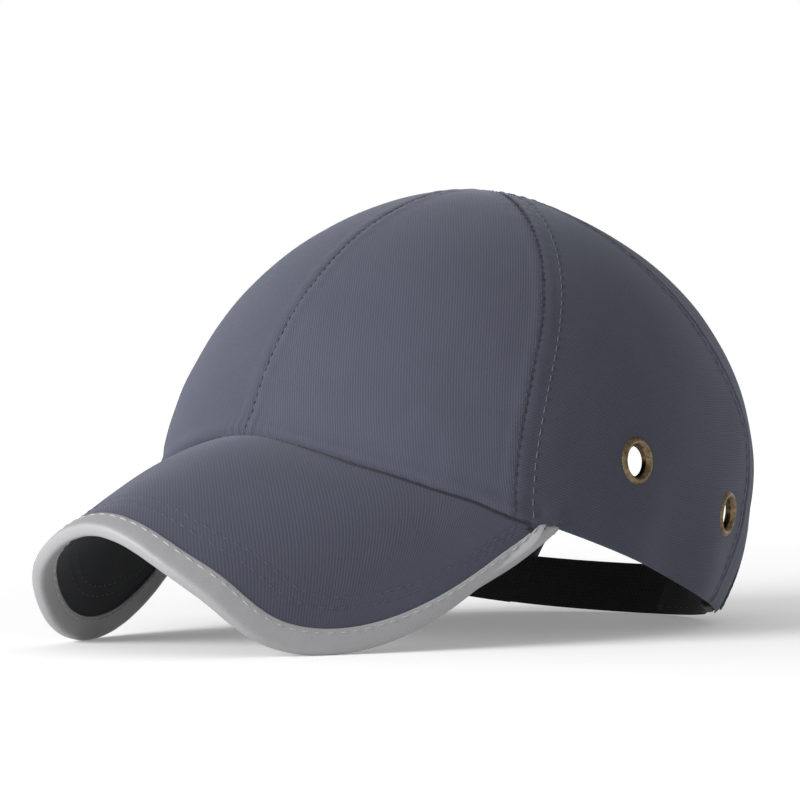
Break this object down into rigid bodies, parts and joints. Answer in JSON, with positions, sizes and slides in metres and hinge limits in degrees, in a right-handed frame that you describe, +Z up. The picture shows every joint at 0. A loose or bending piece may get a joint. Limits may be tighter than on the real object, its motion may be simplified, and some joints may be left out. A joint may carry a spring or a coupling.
{
  "type": "bump cap",
  "caption": "Peaked cloth cap with a removable vented plastic bump insert, curved visor, metal eyelets and a hook-and-loop rear strap.",
  "frame": {"origin": "centre of the cap's bounding box, on the surface it stands on", "axes": "+X to the wearer's left, -Y forward out of the visor, +Z up"},
  "size_m": [0.1684, 0.2775, 0.14],
  "materials": {
    "front_twill": "matte cotton twill",
    "side_twill": "matte cotton twill",
    "visor_twill": "matte cotton twill",
    "reflective_binding": "satin reflective tape",
    "visor_lining": "matte twill",
    "visor_board": "matte",
    "seam_tape": "plain weave tape",
    "opening_binding": "matte twill tape",
    "sweatband": "brushed terry",
    "eyelet_brass": "antique brushed brass",
    "strap_web": "matte webbing",
    "hook_pile": "moulded hooks",
    "loop_pile": "brushed loop pile",
    "shell_plastic": "fine moulded texture",
    "edge_trim": "matte",
    "pad_foam": "closed-cell foam"
  },
  "bodies": {
    "cap": {"front_panel_left": "front_twill", "front_panel_right": "front_twill", "side_panel_left": "side_twill", "side_panel_right": "side_twill", "back_panel_left": "side_twill", "back_panel_right": "side_twill", "apex_patch": "seam_tape", "front_centre_tape": "seam_tape", "rear_centre_tape": "seam_tape", "front_seam_tape_left": "seam_tape", "rear_seam_tape_left": "seam_tape", "front_seam_tape_right": "seam_tape", "rear_seam_tape_right": "seam_tape", "opening_binding": "opening_binding", "sweatband": "sweatband", "eyelets": "eyelet_brass", "eyelet_washers": "eyelet_brass", "visor_board": "visor_board", "visor_top_cover": "visor_twill", "visor_bottom_cover": "visor_lining", "visor_binding": "reflective_binding", "strap_root_right": "strap_web", "strap_root_left": "strap_web", "strap_short": "strap_web", "strap_loop_patch": "loop_pile", "crown_loop_tabs": "loop_pile"},
    "long_strap": {"strap_long": "strap_web", "strap_hook_patch": "hook_pile"},
    "insert": {"bump_shell": "shell_plastic", "shell_edge_trim": "edge_trim", "front_pad": "pad_foam", "back_pad": "pad_foam", "side_pad_left": "pad_foam", "side_pad_right": "pad_foam", "crown_pad": "pad_foam", "insert_hook_tabs": "hook_pile"}
  },
  "joints": [
    {"name": "strap_open", "type": "hinge", "parent": "cap", "child": "long_strap", "pos_m": [-0.041, 0.1148, 0.012], "axis": [0, 0, 1], "range_deg": [0, 90]},
    {"name": "insert_slide", "type": "slide", "parent": "cap", "child": "insert", "axis": [0, -0.134, -0.991], "range_m": [0, 0.045]}
  ]
}
